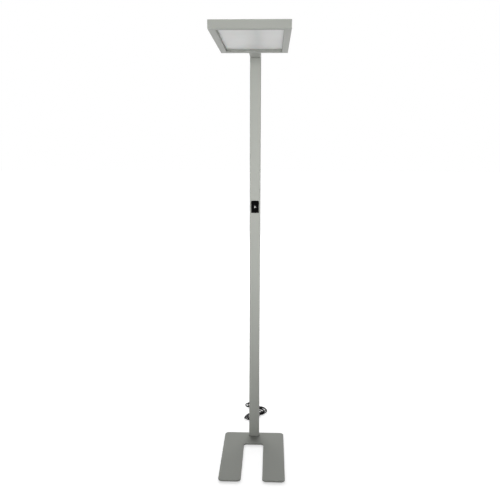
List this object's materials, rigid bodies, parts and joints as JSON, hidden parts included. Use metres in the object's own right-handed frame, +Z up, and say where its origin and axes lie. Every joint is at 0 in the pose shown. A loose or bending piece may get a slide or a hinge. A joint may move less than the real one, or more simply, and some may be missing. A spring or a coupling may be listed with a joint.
{
  "type": "office floor lamp",
  "caption": "Floor lamp with a slim recessed light panel on a mitred arm and rectangular post, a push-key dimmer in the post, and a forked flat foot.",
  "frame": {"origin": "centre of the lamp's footprint at floor level, measured without the free lead and its plug", "axes": "+Z up along the post; the panel and the fork reach towards -Y; +X is to the right seen from the front"},
  "size_m": [0.306, 1.335, 1.95],
  "materials": {
    "foot_paint": "powder coat, light grey, on steel",
    "pad_rubber": "soft black rubber",
    "block_steel": "machined steel",
    "bolt_steel": "dark zinc plate",
    "tube_paint": "powder coat, light grey, on extruded aluminium",
    "frame_paint": "powder coat, light grey, on extruded aluminium",
    "cover_paint": "powder coat, light grey, on sheet aluminium",
    "cast_aluminium": "bare die casting",
    "screw_paint": "grey zinc plate",
    "screw_zinc": "bright zinc plate",
    "tray_aluminium": "mill finish sheet",
    "opal_lower": "opal acrylic, satin",
    "opal_upper": "opal acrylic, satin",
    "guide_acrylic": "clear acrylic plate",
    "reflector_film": "white reflector film",
    "board_white": "white solder mask on metal-core board",
    "board_green": "green solder mask",
    "terminal_plastic": "ivory polyamide",
    "driver_case": "white polycarbonate case",
    "cable_white": "white PVC jacket",
    "module_black": "black polycarbonate, fine texture",
    "face_gloss": "black acrylic, high gloss",
    "key_gloss": "black, gloss, with a white mark",
    "silicone": "grey silicone",
    "gland_rubber": "black moulded PVC",
    "lead_black": "black PVC jacket",
    "plug_black": "black moulded PVC",
    "plug_metal": "nickel-plated brass",
    "strap_fabric": "dark grey woven strap"
  },
  "bodies": {
    "lamp": {"base_plate": "foot_paint", "base_pads": "pad_rubber", "post_gasket": "pad_rubber", "foot_insert": "block_steel", "foot_bolts": "bolt_steel", "post": "tube_paint", "arm": "tube_paint", "elbow_bracket": "cast_aluminium", "arm_end_block": "block_steel", "tube_screws": "screw_paint", "lead_gland": "gland_rubber", "inner_lead": "lead_black", "led_driver": "driver_case", "head_cable": "cable_white", "control_cable": "cable_white", "control_housing": "module_black", "control_faceplate": "face_gloss", "module_screws": "screw_zinc", "control_board": "board_green", "key_dome": "silicone", "rail_front": "frame_paint", "rail_rear": "frame_paint", "rail_left": "frame_paint", "rail_right": "frame_paint", "corner_keys": "cast_aluminium", "corner_screws": "screw_zinc", "diffuser": "opal_lower", "light_guide": "guide_acrylic", "reflector_sheet": "reflector_film", "led_strips": "board_white", "led_tray": "tray_aluminium", "tray_screws": "screw_zinc", "up_led_boards": "board_white", "upper_diffuser": "opal_upper", "top_cover": "cover_paint", "cover_screws": "screw_paint", "terminal_block": "terminal_plastic", "head_bracket": "block_steel", "head_bolts": "bolt_steel", "cable_grommet": "pad_rubber", "mains_lead": "lead_black", "lead_hank": "lead_black", "lead_tail": "lead_black", "hank_tie": "strap_fabric", "plug_boot": "plug_black", "plug_body": "plug_black", "plug_pins": "plug_metal", "plug_earth": "plug_metal"},
    "key": {"dim_key": "key_gloss"}
  },
  "joints": [
    {"name": "key_press", "type": "slide", "parent": "lamp", "child": "key", "axis": [0, 1, 0], "range_m": [0, 0.0012], "stiffness_N_per_m": 1500, "springref_m": -0.0003, "deforming": ["key_dome"]}
  ]
}
